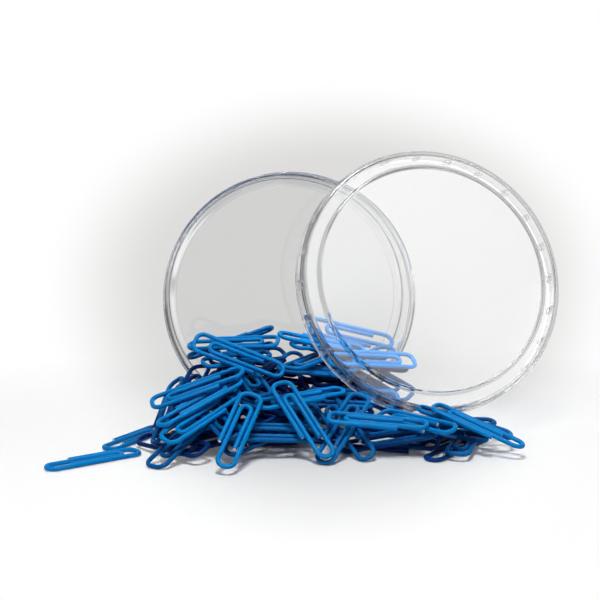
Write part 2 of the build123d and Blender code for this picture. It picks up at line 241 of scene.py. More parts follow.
# %% Helpers for shape trees
def new_machine(name, inputs):
    """A Geometry Nodes tree with a geometry input and the named ones; returns it and its input node."""
    tree = bpy.data.node_groups.new(name, "GeometryNodeTree")
    tree.interface.new_socket("Geometry", in_out="INPUT", socket_type="NodeSocketGeometry")
    for label, kind in inputs.items():
        tree.interface.new_socket(label, in_out="INPUT", socket_type=f"NodeSocket{kind}")
    tree.interface.new_socket("Geometry", in_out="OUTPUT", socket_type="NodeSocketGeometry")
    return tree, put(tree, "NodeGroupInput").outputs


def run_machine(tree, carrier, name, values):
    """Run a tree on a carrier object and keep what it makes as a plain mesh object."""
    modifier = carrier.modifiers.new("machine", "NODES")
    modifier.node_group = tree
    for item in tree.interface.items_tree:
        if item.in_out == "INPUT" and item.name in values:
            modifier[item.identifier] = values[item.name]
    graph = bpy.context.evaluated_depsgraph_get()
    mesh = bpy.data.meshes.new_from_object(carrier.evaluated_get(graph))
    mesh.name = name
    bpy.data.objects.remove(carrier)
    piece = bpy.data.objects.new(name, mesh)
    bpy.context.scene.collection.objects.link(piece)
    return piece


def carrier_of(name, data):
    """A short-lived object that carries a mesh or a curve into a tree."""
    carrier = bpy.data.objects.new(name, data)
    bpy.context.scene.collection.objects.link(carrier)
    return carrier


def poly_curve(name, points, radii):
    """A curve of straight runs through flat points, with a number kept at each point."""
    data = bpy.data.curves.new(name, "CURVE")
    data.dimensions = "3D"
    spline = data.splines.new("POLY")
    spline.points.add(len(points) - 1)
    for number, (x, y) in enumerate(points):
        spline.points[number].co = (x, y, 0, 1)
        spline.points[number].radius = radii[number]
    return data


print("shape helpers ready")


# %% [markdown]
# ## Where a piece lies
# The frame has every CAD piece in its place, but as loose triangles. Weighing the triangles gives a
# balance point and three main axes, and the same weighing of the piece made here gives its own. Turning
# one set of axes onto the other puts the new piece exactly where the CAD one is. Which way each axis
# points is told by the lopsidedness of the shape along it.

# %% Weighing
def weigh(corners):
    """Balance point and main axes of triangles, largest spread first, each towards its longer tail."""
    middles = corners.mean(axis=1)
    areas = np.linalg.norm(np.cross(corners[:, 1] - corners[:, 0], corners[:, 2] - corners[:, 0]), axis=1)
    share = areas / areas.sum()
    balance = share @ middles
    arms = middles - balance
    spread, axes = np.linalg.eigh((arms * share[:, None]).T @ arms)
    axes = axes[:, ::-1]
    tails = share @ (arms @ axes) ** 3
    return balance, axes * np.where(tails < 0, -1, 1), spread[::-1]


def triangles(mesh):
    """Corner points of a mesh's triangles."""
    mesh.calc_loop_triangles()
    points = np.empty(len(mesh.vertices) * 3)
    mesh.vertices.foreach_get("co", points)
    index = np.empty(len(mesh.loop_triangles) * 3, int)
    mesh.loop_triangles.foreach_get("vertices", index)
    return points.reshape(-1, 3)[index].reshape(-1, 3, 3)


print("dish balance", weigh(triangles(frame["nodes"]["base_dish"].data))[0])


# %% [markdown]
# ## Turned walls
# The dish and the lid are both round, so each is one half section turned about its axis. A section is
# drawn as corner points, some of them rounded. A grid is laid out with one row for each point of the
# section and one column for each step round the axis, and every grid point is moved to the place that
# its row and column give. The steps lie closer together at the lid's snap nubs, and there the inner
# face of the skirt is pressed inwards by the height of a nub.

# %% Section drawing
CORNER_STEPS = 6
CREASE = 0.05  # rounding of a sharp moulded corner, in millimetres
CREASE_STEPS = 2
SUPPORT = 0.12  # a ring this close to each corner keeps the shading of flat faces flat


def rounded_section(corners):
    """Points of a section from corners (radius, height, rounding); the first and last are on the axis."""
    points = [Vector(corners[0][:2])]
    for before, (x, y, rounding), after in zip(corners, corners[1:], corners[2:]):
        steps = CORNER_STEPS if rounding else CREASE_STEPS
        rounding = rounding or CREASE
        here = Vector((x, y))
        back = (Vector(before[:2]) - here).normalized()
        on = (Vector(after[:2]) - here).normalized()
        half = back.angle(on) / 2
        start = here + back * rounding / math.tan(half)
        end = here + on * rounding / math.tan(half)
        middle = here + (back + on).normalized() * rounding / math.sin(half)
        points.append(start + back * SUPPORT)
        for step in range(steps + 1):
            spoke = (start - middle).lerp(end - middle, step / steps)
            points.append(middle + spoke.normalized() * rounding)
        points.append(end + on * SUPPORT)
    return points + [Vector(corners[-1][:2])]


print("section helper ready")


# %% Turning machine
NUB_TAPER = 0.3  # over which each end of a nub runs out, in millimetres
MERGE = 0.002  # points closer than this are one


def turning_machine():
    """Grid rows follow the section, grid columns go round the axis, nubs press the flagged rows inwards."""
    tree, given = new_machine("turned_wall", {
        "Section": "Object", "Rows": "Int", "Steps": "Int", "Crowding": "Float", "Nubs": "Int",
        "Nub Depth": "Float", "Nub Radius": "Float", "Nub Length": "Float", "Nub Height": "Float",
        "Finish": "Material"})
    section = put(tree, "GeometryNodeObjectInfo", {"Object": given["Section"]}).outputs["Geometry"]
    columns = math_node(tree, "ADD", given["Steps"], 1.0)
    grid = put(tree, "GeometryNodeMeshGrid", {
        "Vertices X": given["Rows"], "Vertices Y": columns}).outputs["Mesh"]
    index = put(tree, "GeometryNodeInputIndex").outputs[0]
    row = math_node(tree, "FLOOR", math_node(tree, "DIVIDE", math_node(tree, "ADD", index, 0.5), columns))
    column = math_node(tree, "SUBTRACT", index, math_node(tree, "MULTIPLY", row, columns))

    def sampled(kind, data):
        value = put(tree, kind).outputs[0]
        return put(tree, "GeometryNodeSampleIndex", {"Geometry": section, "Value": value, "Index": row},
                   data_type=data, domain="POINT").outputs[0]

    corner = sampled("GeometryNodeInputPosition", "FLOAT_VECTOR")
    place = put(tree, "ShaderNodeSeparateXYZ", {0: corner}).outputs
    flag = sampled("GeometryNodeInputRadius", "FLOAT")
    share = math_node(tree, "DIVIDE", column, given["Steps"])
    period = math_node(tree, "MULTIPLY", share, given["Nubs"])
    nearest = math_node(tree, "ROUND", period)
    away = math_node(tree, "MULTIPLY", math_node(tree, "SUBTRACT", period, nearest), 2.0)
    crowded = math_node(tree, "POWER", math_node(tree, "ABSOLUTE", away), given["Crowding"])
    halved = math_node(tree, "MULTIPLY", crowded, 0.5)
    offset = math_node(tree, "MULTIPLY", math_node(tree, "SIGN", away), halved)
    turn_each = math_node(tree, "DIVIDE", 2 * math.pi, given["Nubs"])
    angle = math_node(tree, "MULTIPLY", math_node(tree, "ADD", nearest, offset), turn_each)
    from_nub = math_node(tree, "ABSOLUTE", math_node(tree, "MULTIPLY", offset, turn_each))
    arc = math_node(tree, "MULTIPLY", from_nub, place["X"])
    half = math_node(tree, "MULTIPLY", given["Nub Length"], 0.5)
    inside = put(tree, "ShaderNodeMapRange", {
        "Value": arc, "From Min": math_node(tree, "SUBTRACT", half, NUB_TAPER * MM), "From Max": half,
        "To Min": 1.0, "To Max": 0.0}, interpolation_type="SMOOTHSTEP").outputs[0]
    rise = math_node(tree, "SUBTRACT", place["Y"], given["Nub Height"])
    bow = math_node(tree, "SUBTRACT", math_node(tree, "MULTIPLY", given["Nub Radius"], given["Nub Radius"]),
                    math_node(tree, "MULTIPLY", rise, rise))
    chord = math_node(tree, "SQRT", math_node(tree, "MAXIMUM", bow, 0.0))
    buried = math_node(tree, "SUBTRACT", given["Nub Radius"], given["Nub Depth"])
    depth = math_node(tree, "MAXIMUM", math_node(tree, "SUBTRACT", chord, buried), 0.0)
    pressed = math_node(tree, "MULTIPLY", math_node(tree, "MULTIPLY", depth, inside), flag)
    radius = math_node(tree, "SUBTRACT", place["X"], pressed)
    spot = put(tree, "ShaderNodeCombineXYZ", {
        "X": math_node(tree, "MULTIPLY", radius, math_node(tree, "COSINE", angle)),
        "Y": math_node(tree, "MULTIPLY", radius, math_node(tree, "SINE", angle)), "Z": place["Y"]}).outputs[0]
    turned = put(tree, "GeometryNodeSetPosition", {"Geometry": grid, "Position": spot}).outputs[0]
    closed = put(tree, "GeometryNodeMergeByDistance", {
        "Geometry": turned, "Distance": MERGE * MM}).outputs[0]
    smooth = put(tree, "GeometryNodeSetShadeSmooth", {"Geometry": closed}).outputs[0]
    real = put(tree, "GeometryNodeRealizeInstances", {"Geometry": smooth}).outputs[0]
    done = put(tree, "GeometryNodeSetMaterial", {"Geometry": real, "Material": given["Finish"]}).outputs[0]
    put(tree, "NodeGroupOutput", {0: done})
    return tree


TURNING = turning_machine()


def turned_piece(name, corners, flags, steps, crowding, nubs):
    """Turn a section in its own frame: height along Z, axis through the origin, metres."""
    points = [point * MM for point in corners]
    section = carrier_of("section", poly_curve("section", points, flags))
    blank = carrier_of("blank", bpy.data.meshes.new("blank"))
    piece = run_machine(TURNING, blank, name, {
        "Section": section, "Rows": len(points), "Steps": steps, "Crowding": crowding, **nubs,
        "Finish": CLEAR})
    bpy.data.objects.remove(section)
    return piece


def stand_upright(piece, node):
    """Put a round piece where its CAD node is: axis on axis, and its side axis level."""
    balance, axes, spread = weigh(triangles(piece.data))
    cad_balance, cad_axes, _ = weigh(triangles(frame["nodes"][node].data))
    single = int(np.argmax(np.abs(spread - np.median(spread))))
    out = Vector(cad_axes[:, single] * np.sign(axes[2, single]))
    side = Vector((0, 0, 1)).cross(out).normalized()
    turn = Matrix((side, out.cross(side), out)).transposed()
    place = Matrix.Translation(Vector(cad_balance) - turn @ Vector(balance)) @ turn.to_4x4()
    piece.data.transform(place)
    return place


print("turning machine", len(TURNING.nodes), "nodes")


# %% [markdown]
# ### Base dish
# The dish is a plain pan with a foot ring under it. Its wall tapers so that it leaves the mould, and a
# collar runs round the rim: the lid's nubs snap in under it. The walls are 1.3 mm thick.

# %% Base dish
WALL = 1.3
TAPER = math.tan(math.radians(1.0))  # one degree of draft
EDGE = 0.25
RIM_RADIUS = 45.0
COLLAR_PROUD = 0.4
BASE_HEIGHT = 18.5
HEEL_ROUNDING = 2.2
INNER_HEEL = 2.6
FOOT_HEIGHT = 0.9
FOOT_WIDTH = 1.6
LID_HEIGHT = 9.0
NUB_PROUD = 0.5
NUB_LIFT = 0.2  # from the lid's rim to the nubs
SNAP_PLAY = 0.2  # between the nubs and the collar
NUB_RADIUS = (WALL + NUB_PROUD) / 2
NUB_HEIGHT = NUB_LIFT + NUB_RADIUS
COLLAR_LOW = BASE_HEIGHT - (LID_HEIGHT - WALL - NUB_HEIGHT - NUB_RADIUS) + SNAP_PLAY
WALL_TOP = RIM_RADIUS - COLLAR_PROUD
HEEL = WALL_TOP - TAPER * BASE_HEIGHT
FOOT_INSIDE = HEEL - HEEL_ROUNDING - FOOT_WIDTH
DISH_FLOOR = FOOT_HEIGHT + WALL
DISH_STEPS = 288  # round the axis
NO_NUBS = {"Nubs": 1, "Nub Depth": 0.0, "Nub Radius": 0.0, "Nub Length": 1.0, "Nub Height": 0.0}

dish_section = rounded_section([
    (0, DISH_FLOOR, 0),
    (HEEL - WALL + TAPER * DISH_FLOOR, DISH_FLOOR, INNER_HEEL),
    (WALL_TOP - WALL, BASE_HEIGHT, EDGE),
    (RIM_RADIUS, BASE_HEIGHT, EDGE),
    (RIM_RADIUS, COLLAR_LOW + COLLAR_PROUD, 0),
    (WALL_TOP - TAPER * (BASE_HEIGHT - COLLAR_LOW), COLLAR_LOW, 0),
    (HEEL, 0, HEEL_ROUNDING),
    (FOOT_INSIDE, 0, 0),
    (FOOT_INSIDE, FOOT_HEIGHT, 0),
    (0, FOOT_HEIGHT, 0)])
dish = turned_piece("clear_dish", dish_section, [0.0] * len(dish_section), DISH_STEPS,
                    crowding=1.0, nubs=NO_NUBS)
dish_place = stand_upright(dish, "base_dish")
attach(dish, "dish")
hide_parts("base_dish")
print("dish", len(dish.data.polygons), "faces")


# %% [markdown]
# ### Lid
# The lid is shallower and slips over the collar. Its flat panel is raised by a soft step so that boxes
# stack, a band thickens the open rim, and 24 small nubs inside the rim hold it on the dish. They show
# as short ticks along the edge. Extra rows of points cross the nubs, so that each comes out round.

# %% Lid
NUB_COUNT = 24
NUB_LENGTH = 2.2
NUB_ROWS = 10
NUB_STEPS = 20  # round the axis, for each nub
NUB_CROWDING = 1.9  # how much closer together the steps lie at a nub
LID_FIT = 0.35  # air between the dish's collar and the skirt
BAND_PROUD = 0.25
BAND_HEIGHT = 1.8
PANEL_FIT = 0.4  # air between the panel and the foot ring of a box stacked on it
SLACK = 0.01  # for comparing radii
LID_INSIDE = RIM_RADIUS + LID_FIT
LID_OUTSIDE = LID_INSIDE + WALL
LID_RADIUS = LID_OUTSIDE + BAND_PROUD
BAND_TOP = BAND_HEIGHT + BAND_PROUD
SHOULDER = LID_OUTSIDE - TAPER * LID_HEIGHT
SHOULDER_ROUNDING = 1.8
PANEL_RADIUS = FOOT_INSIDE - PANEL_FIT
PANEL_RISE = 0.8
PANEL_ROUNDING = 1.0
LID_DEPTH = LID_HEIGHT + PANEL_RISE
CEILING = LID_HEIGHT - WALL
PANEL_INSIDE = PANEL_RADIUS - WALL / 2
INNER_SHOULDER = SHOULDER - WALL

lid_shell = rounded_section([
    (0, LID_DEPTH, 0),
    (PANEL_RADIUS, LID_DEPTH, PANEL_ROUNDING),
    (PANEL_RADIUS + PANEL_RISE, LID_HEIGHT, PANEL_ROUNDING / 2),
    (SHOULDER, LID_HEIGHT, SHOULDER_ROUNDING),
    (LID_OUTSIDE - TAPER * BAND_TOP, BAND_TOP, 0),
    (LID_RADIUS, BAND_HEIGHT, 0),
    (LID_RADIUS, 0, EDGE),
    (LID_INSIDE, 0, 0),
    (INNER_SHOULDER, CEILING, SHOULDER_ROUNDING / 2),
    (PANEL_INSIDE + PANEL_RISE, CEILING, PANEL_ROUNDING),
    (PANEL_INSIDE, LID_DEPTH - WALL, PANEL_ROUNDING / 2),
    (0, LID_DEPTH - WALL, 0)])
under_nubs = [number for number, point in enumerate(lid_shell)
              if point.y < NUB_HEIGHT and point.x < LID_INSIDE + SLACK]
skirt_start = max(under_nubs) + 1
low, high = lid_shell[skirt_start - 1], lid_shell[skirt_start]
nub_foot = math.sqrt(NUB_RADIUS ** 2 - (NUB_RADIUS - NUB_PROUD) ** 2)
nub_rows = []
for step in range(NUB_ROWS + 1):
    rise = NUB_HEIGHT - nub_foot * math.cos(math.pi * step / NUB_ROWS)
    nub_rows.append(low.lerp(high, (rise - low.y) / (high.y - low.y)))
lid_section = lid_shell[:skirt_start] + nub_rows + lid_shell[skirt_start:]
lid_flags = [0.0] * skirt_start + [1.0] * len(nub_rows) + [0.0] * (len(lid_shell) - skirt_start)
NUBS = {"Nubs": NUB_COUNT, "Nub Depth": NUB_PROUD * MM, "Nub Radius": NUB_RADIUS * MM,
        "Nub Length": NUB_LENGTH * MM, "Nub Height": NUB_HEIGHT * MM}
lid = turned_piece("clear_lid", lid_section, lid_flags, NUB_COUNT * NUB_STEPS, NUB_CROWDING, NUBS)
stand_upright(lid, "lid")
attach(lid, "lid")
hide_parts("lid")
print("lid", len(lid.data.polygons), "faces")


# %% [markdown]
# ## Paper clips
# A clip is one wire bent flat: two square corners at the wide end, a round turn at the narrow end and
# a smaller round turn inside. A route of straight runs with a rounding at each corner says all of it.
# The Fillet Curve node rounds the route, and Curve to Mesh draws the round wire along it, a little
# narrower over the last hair so that the coat rolls over the cut. The flat caps get the steel.

# %% Clip route
CLIP_LENGTH = 33.0
CLIP_WIDTH = 8.6
WIRE = 1.5
LOOP_GAP = 0.25  # air between two runs that lie side by side
PITCH = WIRE + LOOP_GAP
END_CORNER = 2.6  # bend at each corner of the wide end
INNER_SETBACK = 5.5  # from the wide end to the end of the inner loop
OUTER_TAIL = 9.0  # from the narrow end to the outer cut end
INNER_TAIL = 7.5  # from the narrow end to the inner cut end
FULL_TURN = 0.999  # two bends that make a half turn leave a hair of straight wire between them
CUT_ROLL = (0.0, 0.04, 0.12, 0.25)  # rings near a cut end, from the end


def clip_route():
    """Corners of the wire's middle line and the rounding at each, in millimetres."""
    wide = (CLIP_LENGTH - WIRE) / 2
    outer = (CLIP_WIDTH - WIRE) / 2
    inner = outer - PITCH
    nested = wide - INNER_SETBACK
    narrow_bend = (outer - PITCH / 2) * FULL_TURN
    inner_bend = inner * FULL_TURN
    start = [(OUTER_TAIL - wide + roll, outer, 0) for roll in CUT_ROLL]
    end = [(INNER_TAIL - wide + roll, -inner, 0) for roll in reversed(CUT_ROLL)]
    bends = [(wide, outer, END_CORNER), (wide, -outer, END_CORNER)]
    bends += [(-wide, -outer, narrow_bend), (-wide, inner, narrow_bend)]
    bends += [(nested, inner, inner_bend), (nested, -inner, inner_bend)]
    return start + bends + end


route = clip_route()
print("route corners", len(route))


# %% Clip machine
STEEL_SHARE = 0.72  # of the wire's width
SIDES = 14
BEND_STEPS = 7
PAINTED_SHADE_WEIGHT = 0.75  # of a clip's tone that is painted shade, by how open it lies; the rest is chance


def clip_machine():
    """One wire drawn along the route, set on every carried point with that point's turn, and its tone with
    painted shade.
    """
    tree, given = new_machine("coated_clips", {
        "Route": "Object", "Wire Radius": "Float", "Sides": "Int", "Bend Steps": "Int", "Roll": "Float",
        "Steel Share": "Float", "Coat": "Material", "Steel": "Material", "Seed": "Int"})
    line = put(tree, "GeometryNodeObjectInfo", {"Object": given["Route"]}).outputs["Geometry"]
    bend = put(tree, "GeometryNodeInputRadius").outputs[0]
    bent = put(tree, "GeometryNodeFilletCurve", {
        "Curve": line, "Count": given["Bend Steps"], "Radius": bend, "Limit Radius": True},
        mode="POLY").outputs[0]
    along = put(tree, "GeometryNodeSplineParameter").outputs
    total = put(tree, "GeometryNodeSplineLength").outputs["Length"]
    to_end = math_node(tree, "MINIMUM", along["Length"], math_node(tree, "SUBTRACT", total, along["Length"]))
    rolled = math_node(tree, "MINIMUM", math_node(tree, "DIVIDE", to_end, given["Roll"]), 1.0)
    short = math_node(tree, "SUBTRACT", 1.0, rolled)
    squared = math_node(tree, "MULTIPLY", short, short)
    arch = math_node(tree, "SQRT", math_node(tree, "SUBTRACT", 1.0, squared))
    lip = math_node(tree, "SUBTRACT", 1.0, given["Steel Share"])
    width = math_node(tree, "MULTIPLY_ADD", arch, lip, given["Steel Share"])
    ring = put(tree, "GeometryNodeCurvePrimitiveCircle", {
        "Resolution": given["Sides"], "Radius": given["Wire Radius"]}).outputs[0]
    wire = put(tree, "GeometryNodeCurveToMesh", {
        "Curve": bent, "Profile Curve": ring, "Scale": width, "Fill Caps": True}).outputs[0]
    sides = put(tree, "GeometryNodeCornersOfFace").outputs["Total"]
    cap = put(tree, "FunctionNodeCompare", {2: sides, 3: 4}, data_type="INT",
              operation="GREATER_THAN").outputs[0]
    body = put(tree, "FunctionNodeBooleanMath", {0: cap}, operation="NOT").outputs[0]
    soft = put(tree, "GeometryNodeSetShadeSmooth", {"Geometry": wire, "Shade Smooth": body}).outputs[0]
    turn = put(tree, "GeometryNodeInputNamedAttribute", {"Name": "turn"}, data_type="QUATERNION").outputs[0]
    heap = put(tree, "GeometryNodeInstanceOnPoints", {
        "Points": given["Geometry"], "Instance": soft, "Rotation": turn}).outputs[0]
    chance = put(tree, "FunctionNodeRandomValue", {"Seed": given["Seed"]}, data_type="FLOAT").outputs[1]
    # painted shade: a clip that lies under others gets a darker coat colour
    lies_open = put(tree, "GeometryNodeInputNamedAttribute", {"Name": "open"}, data_type="FLOAT").outputs[0]
    by_chance = math_node(tree, "MULTIPLY", chance, 1 - PAINTED_SHADE_WEIGHT)
    shade = math_node(tree, "MULTIPLY_ADD", lies_open, PAINTED_SHADE_WEIGHT, by_chance)
    shaded = put(tree, "GeometryNodeStoreNamedAttribute", {"Geometry": heap, "Name": "shade", "Value": shade},
                 data_type="FLOAT", domain="INSTANCE").outputs[0]
    real = put(tree, "GeometryNodeRealizeInstances", {"Geometry": shaded}).outputs[0]
    coated = put(tree, "GeometryNodeSetMaterial", {"Geometry": real, "Material": given["Coat"]}).outputs[0]
    tipped = put(tree, "GeometryNodeSetMaterial", {
        "Geometry": coated, "Selection": cap, "Material": given["Steel"]}).outputs[0]
    put(tree, "NodeGroupOutput", {0: tipped})
    return tree


CLIPS = clip_machine()
route_points = [(x * MM, y * MM) for x, y, _ in route]
route_bends = [bend * MM for _, _, bend in route]
route_line = carrier_of("route", poly_curve("route", route_points, route_bends))


def make_clips(name, places, shares, seed):
    """A mesh of clips, one at each (point, turn), with how open each lies."""
    points = bpy.data.meshes.new("places")
    points.from_pydata([point for point, _ in places], [], [])
    turns = points.attributes.new("turn", "QUATERNION", "POINT")
    for number, (_, turn) in enumerate(places):
        turns.data[number].value = turn
    points.attributes.new("open", "FLOAT", "POINT").data.foreach_set("value", shares)
    return run_machine(CLIPS, carrier_of("places", points), name, {
        "Route": route_line, "Wire Radius": WIRE / 2 * MM, "Sides": SIDES, "Bend Steps": BEND_STEPS,
        "Roll": CUT_ROLL[-1] * MM, "Steel Share": STEEL_SHARE, "Coat": COAT, "Steel": STEEL, "Seed": seed})


sample = make_clips("sample", [(Vector(), (1, 0, 0, 0))], [1.0], 0)
clip_balance, clip_axes, clip_spread = weigh(triangles(sample.data))
print("one clip", len(sample.data.polygons), "faces, spread", clip_spread)
bpy.data.objects.remove(sample)


# %% [markdown]
# ### Finding the clips in the frame
# A heap node of the CAD model holds six clips as loose triangles. Merging the doubled points turns each
# clip into an island, and the Mesh Island node numbers the islands. Every island is then weighed, which
# gives the place and the turn of its clip.

# %% Islands
def island_machine():
    """Merge a loose mesh and number its islands."""
    tree, given = new_machine("number_islands", {"Distance": "Float"})
    merged = put(tree, "GeometryNodeMergeByDistance", {
        "Geometry": given["Geometry"], "Distance": given["Distance"]}).outputs[0]
    number = put(tree, "GeometryNodeInputMeshIsland").outputs["Island Index"]
    numbered = put(tree, "GeometryNodeStoreNamedAttribute", {
        "Geometry": merged, "Name": "island", "Value": number}, data_type="INT", domain="FACE").outputs[0]
    put(tree, "NodeGroupOutput", {0: numbered})
    return tree


ISLANDS = island_machine()


def clip_places(node):
    """Point and turn of every clip of a CAD node."""
    copy = carrier_of("copy", frame["nodes"][node].data.copy())
    numbered = run_machine(ISLANDS, copy, "numbered", {"Distance": MERGE * MM})
    corners = triangles(numbered.data)
    faces = np.empty(len(numbered.data.loop_triangles), int)
    numbered.data.loop_triangles.foreach_get("polygon_index", faces)
    island = np.empty(len(numbered.data.polygons), int)
    numbered.data.attributes["island"].data.foreach_get("value", island)
    bpy.data.objects.remove(numbered)
    places = []
    for number in range(island.max() + 1):
        balance, axes, _ = weigh(corners[island[faces] == number])
        axes[:, 2] = np.cross(axes[:, 0], axes[:, 1])
        own = clip_axes.copy()
        own[:, 2] = np.cross(own[:, 0], own[:, 1])
        turn = Matrix((axes @ own.T).tolist())
        places.append((Vector(balance) - turn @ Vector(clip_balance), turn.to_quaternion()))
    return places


print("island machine", len(ISLANDS.nodes), "nodes")


# %% [markdown]
# ### The heap, the free clips and the strays
# The heap's clips lie under each other and move as one body. The clips on top and the two strays on
# the table can each be lifted by themselves, so each is a piece on its own body. Clips deep in the heap
# get painted shade, a darker coat colour: for each clip, the clips that lie over it are counted.

# %% Clips in their places
OVER = Vector((0.0, -0.5, 1.0)).normalized()  # up and forward, the way the heap lies open; painted shade is measured along it
COVER_REACH = 15.0 * MM
COVER_RISE = 2.5 * MM
FULL_COVER = 4.5  # clips over a clip that has the darkest painted shade


def open_share(point, others):
    """1 for a clip with nothing over it, 0 for one under many; it sets how much painted shade the clip gets.
    """
    over = 0
    for other in others:
        arm = other - point
        rise = arm.dot(OVER)
        over += rise > COVER_RISE and (arm - rise * OVER).length < COVER_REACH
    return max(0.0, 1.0 - over / FULL_COVER)


bodies = frame["record"]["behaviour"]["bodies"]
body_of = {node: body for body, nodes in bodies.items() for node in nodes}
clip_nodes = sorted(node for node in frame["nodes"] if "clip" in node)
places_of = {node: clip_places(node) for node in clip_nodes}
middles = {node: [point + turn @ Vector(clip_balance) for point, turn in places_of[node]]
           for node in clip_nodes}
everywhere = [middle for node in clip_nodes for middle in middles[node]]
pieces = []
for seed, node in enumerate(clip_nodes):
    shares = [open_share(middle, everywhere) for middle in middles[node]]
    wires = make_clips(f"coated_{node}", places_of[node], shares, seed)
    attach(wires, body_of[node])
    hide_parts(node)
    pieces.append(wires)
    off = max((wires.bound_box[6][axis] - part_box(node)[1][axis]) / MM for axis in range(3))
    print(wires.name, len(wires.data.polygons), "faces, box off by", round(off, 3), "mm")
bpy.data.objects.remove(route_line)


# %% [markdown]
# ### Painted shade between the wires
# Little light gets down between the wires, and what does has met blue coats on its way. That shade is
# painted into the coat: a map of the heap's surface, laid up and forward, gives every point its depth
# below that surface, and the coat's colour darkens with it.

# %% Painted shade by depth in the heap
MAP_CELL = 1.2 * MM
MAP_MARGIN = 8  # cells round the heap, more than the map is shifted by
FILL_CELLS = 2  # closes the gaps between the wires
SMOOTH_CELLS = 3
DEEP = 11.0 * MM  # where the painted shade is at its darkest
# share of the coat's tone left under the darkest painted shade
LEAST_LEFT_IN_PAINTED_SHADE = 0.06


def shifted(grid, cells):
    """The grid moved by every step of up to so many cells, both ways."""
    steps = range(-cells, cells + 1)
    return np.stack([np.roll(grid, (down, aside), (0, 1)) for down in steps for aside in steps])


def points_of(piece):
    """Points of a piece, one to a row."""
    spots = np.empty(len(piece.data.vertices) * 3)
    piece.data.vertices.foreach_get("co", spots)
    return spots.reshape(-1, 3)


def paint_shade_with_depth(pieces):
    """Paint shade into the coat: multiply every point's stored tone by the share left at its depth. The map
    starts as the bare table.
    """
    rise = np.array(OVER)
    side = np.array((1.0, 0.0, 0.0))
    back = np.cross(rise, side)
    spots = np.concatenate([points_of(piece) for piece in pieces])
    flat = np.stack([spots @ side, spots @ back], 1)
    lowest = flat.min(0) - MAP_MARGIN * MAP_CELL
    cells = ((flat - lowest) / MAP_CELL).astype(int)
    size = cells.max(0) + 1 + MAP_MARGIN
    rows = lowest[1] + MAP_CELL * (np.arange(size[1]) + 0.5)
    surface = np.tile(-rows * back[2] / rise[2], (size[0], 1))
    np.maximum.at(surface, (cells[:, 0], cells[:, 1]), spots @ rise)
    surface = shifted(shifted(surface, FILL_CELLS).max(0), SMOOTH_CELLS).mean(0)
    depth = np.clip((surface[cells[:, 0], cells[:, 1]] - spots @ rise) / DEEP, 0.0, 1.0)
    left = 1.0 - (1.0 - LEAST_LEFT_IN_PAINTED_SHADE) * depth
    start = 0
    for piece in pieces:
        count = len(piece.data.vertices)
        values = np.empty(count)
        piece.data.attributes["shade"].data.foreach_get("value", values)
        piece.data.attributes["shade"].data.foreach_set("value", values * left[start:start + count])
        start += count
    return left


left = paint_shade_with_depth(pieces)
print("points", len(left), "mean share of shade left", round(float(left.mean()), 2))


# %% [markdown]
# ## Camera
# The camera stands 0.4 m in front of the dish, six degrees to its left and eight above. It is aimed by
# the middle of the dish's rim, which sits near the middle of the picture.

# %% Camera
PICTURE = 600
FOCAL = 1125.3  # in pixels
AIM_PIXEL = (290.5, 299.0)
DISTANCE = 0.4
SENSOR = 36.0  # in millimetres
azimuth, elevation = math.radians(-6.0), math.radians(8.0)
level = math.cos(elevation)
back = Vector((math.sin(azimuth) * level, -math.cos(azimuth) * level, math.sin(elevation)))
right = Vector((math.cos(azimuth), math.sin(azimuth), 0))
up = back.cross(right)
aim = dish_place @ Vector((0, 0, BASE_HEIGHT * MM))
across = (AIM_PIXEL[0] - PICTURE / 2) / FOCAL
above = (PICTURE / 2 - AIM_PIXEL[1]) / FOCAL
camera_data = bpy.data.cameras.new("camera")
camera_data.sensor_width = SENSOR
camera_data.lens = FOCAL / PICTURE * camera_data.sensor_width
camera_data.clip_start = 0.01
camera = bpy.data.objects.new("camera", camera_data)
camera.location = aim + DISTANCE * (back - across * right - above * up)
camera.rotation_mode = "QUATERNION"
camera.rotation_quaternion = (-back).to_track_quat("-Z", "Y")
bpy.context.scene.collection.objects.link(camera)
bpy.context.scene.camera = camera
print("camera at", camera.location)


# %% [markdown]
# ## Floor and sweep
# The set is one sheet of pale paper: flat under the object and curved up far behind it, so that no
# horizon shows. Near the object the paper takes light and shadow. Further out it carries a painted tone,
# for the camera and for what shows in the plastic. That tone is painted shade, cast from one fixed point in
# front of the object: a soft grey oval behind the box, and white all round it. The white paper behind
# is a light grey to what the plastic mirrors or bends, except for one white patch to the left. The grey draws
# fine lines in the clear edges, and the patch paints one bright highlight into them.

# %% Floor and sweep
FLOOR_DROP = 0.00005
SWEEP_START = 0.55
SWEEP_RADIUS = 0.25
SWEEP_STEPS = 16
SWEEP_TOP = 1.0
HALF_WIDTH = 3.0

# The painted shade oval: slopes seen from the fixed point, to the right and up
PAINTED_SHADE_POINT = (-0.0443, -0.3736, 0.1006)
PAINTED_SHADE_AIM = (0.1407, -0.130)
PAINTED_SHADE_WIDTH = 0.275  # from the middle to the edge, to either side
PAINTED_SHADE_UP = 0.190
PAINTED_SHADE_DOWN = 0.262
PAINTED_SHADE_EDGE = (0.57, 0.98)
# painted shade: the grey of the oval behind the box
PAINTED_SHADE_GREY = (0.725, 0.72, 0.71, 1)
LEAST_AHEAD = 0.01  # keeps the slopes finite behind the fixed point

# Paper outside the oval
WHITE = (1.0, 1.0, 1.0, 1)
ROUND_GREY = (0.52, 0.52, 0.525, 1)  # what shows instead of white in bent edges
THROUGH_SHARE = 0.2  # of white in what is seen through the plastic, far behind
GREY_FROM = (0.3, 0.5)  # along Y, where that grey starts and is complete
# painted highlight: a white patch on the paper, seen only in the plastic, that draws one glint in the dish's
# rim
GLINT_MIDDLE = (-0.15, 0.69, 0.05)
GLINT_SIZE = (0.14, 0.14, 0.14)
GLINT_EDGE = 0.5

